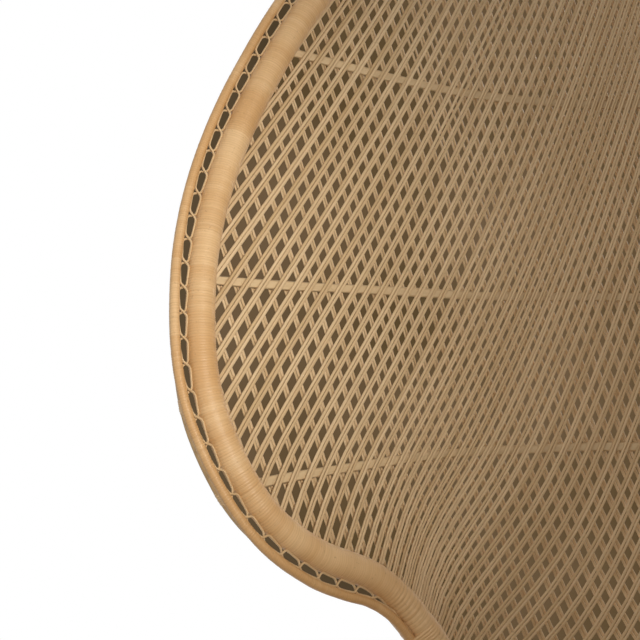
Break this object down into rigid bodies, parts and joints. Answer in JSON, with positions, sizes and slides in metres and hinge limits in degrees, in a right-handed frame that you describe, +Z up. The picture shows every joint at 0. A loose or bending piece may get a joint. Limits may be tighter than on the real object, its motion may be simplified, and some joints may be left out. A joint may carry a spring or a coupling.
{
  "type": "peacock chair",
  "caption": "Woven rattan armchair with a tall rounded fan back that curves round the sitter, low arms, a round seat and an hourglass base.",
  "frame": {"origin": "on the floor, below the middle of the outer box", "axes": "+Z up, the sitter looks along -Y, +X to the right when seen from the front"},
  "size_m": [0.8814, 0.6956, 1.5541],
  "materials": {
    "peel_wrap": "tight wrap of thin rattan peel, satin, honey tan with darker and lighter turns",
    "cane_strip": "split cane strips, matt, pale tan with fine fibres",
    "rattan_pole": "bare rattan pole, satin, tan"
  },
  "bodies": {
    "root": {"arm_hoop_left": "rattan_pole", "arm_hoop_right": "rattan_pole", "arm_lace_loops_left": "cane_strip", "arm_lace_loops_right": "cane_strip", "arm_lace_rod_left": "peel_wrap", "arm_lace_rod_right": "peel_wrap", "arm_roll_left": "peel_wrap", "arm_roll_right": "peel_wrap", "arm_weave_front_left_1": "cane_strip", "arm_weave_front_left_2": "cane_strip", "arm_weave_front_right_1": "cane_strip", "arm_weave_front_right_2": "cane_strip", "arm_weave_rear_left_1": "cane_strip", "arm_weave_rear_left_2": "cane_strip", "arm_weave_rear_right_1": "cane_strip", "arm_weave_rear_right_2": "cane_strip", "base_post_1": "rattan_pole", "base_post_2": "rattan_pole", "base_post_3": "rattan_pole", "base_post_4": "rattan_pole", "base_post_5": "rattan_pole", "base_post_6": "rattan_pole", "base_weave_inner_1": "cane_strip", "base_weave_inner_2": "cane_strip", "base_weave_inner_3": "cane_strip", "base_weave_inner_4": "cane_strip", "base_weave_outer_1": "cane_strip", "base_weave_outer_2": "cane_strip", "base_weave_outer_3": "cane_strip", "base_weave_outer_4": "cane_strip", "fan_band_lower": "cane_strip", "fan_band_middle": "cane_strip", "fan_band_upper": "cane_strip", "fan_hoop": "rattan_pole", "fan_lace_loops": "cane_strip", "fan_lace_rod": "peel_wrap", "fan_roll": "peel_wrap", "fan_weave_front_1": "cane_strip", "fan_weave_front_2": "cane_strip", "fan_weave_front_3": "cane_strip", "fan_weave_front_4": "cane_strip", "fan_weave_rear_1": "cane_strip", "fan_weave_rear_2": "cane_strip", "fan_weave_rear_3": "cane_strip", "fan_weave_rear_4": "cane_strip", "floor_ring": "peel_wrap", "seat_bar_1": "rattan_pole", "seat_bar_2": "rattan_pole", "seat_bar_3": "rattan_pole", "seat_mat": "cane_strip", "seat_ring": "peel_wrap", "waist_ring": "peel_wrap"}
  },
  "joints": []
}
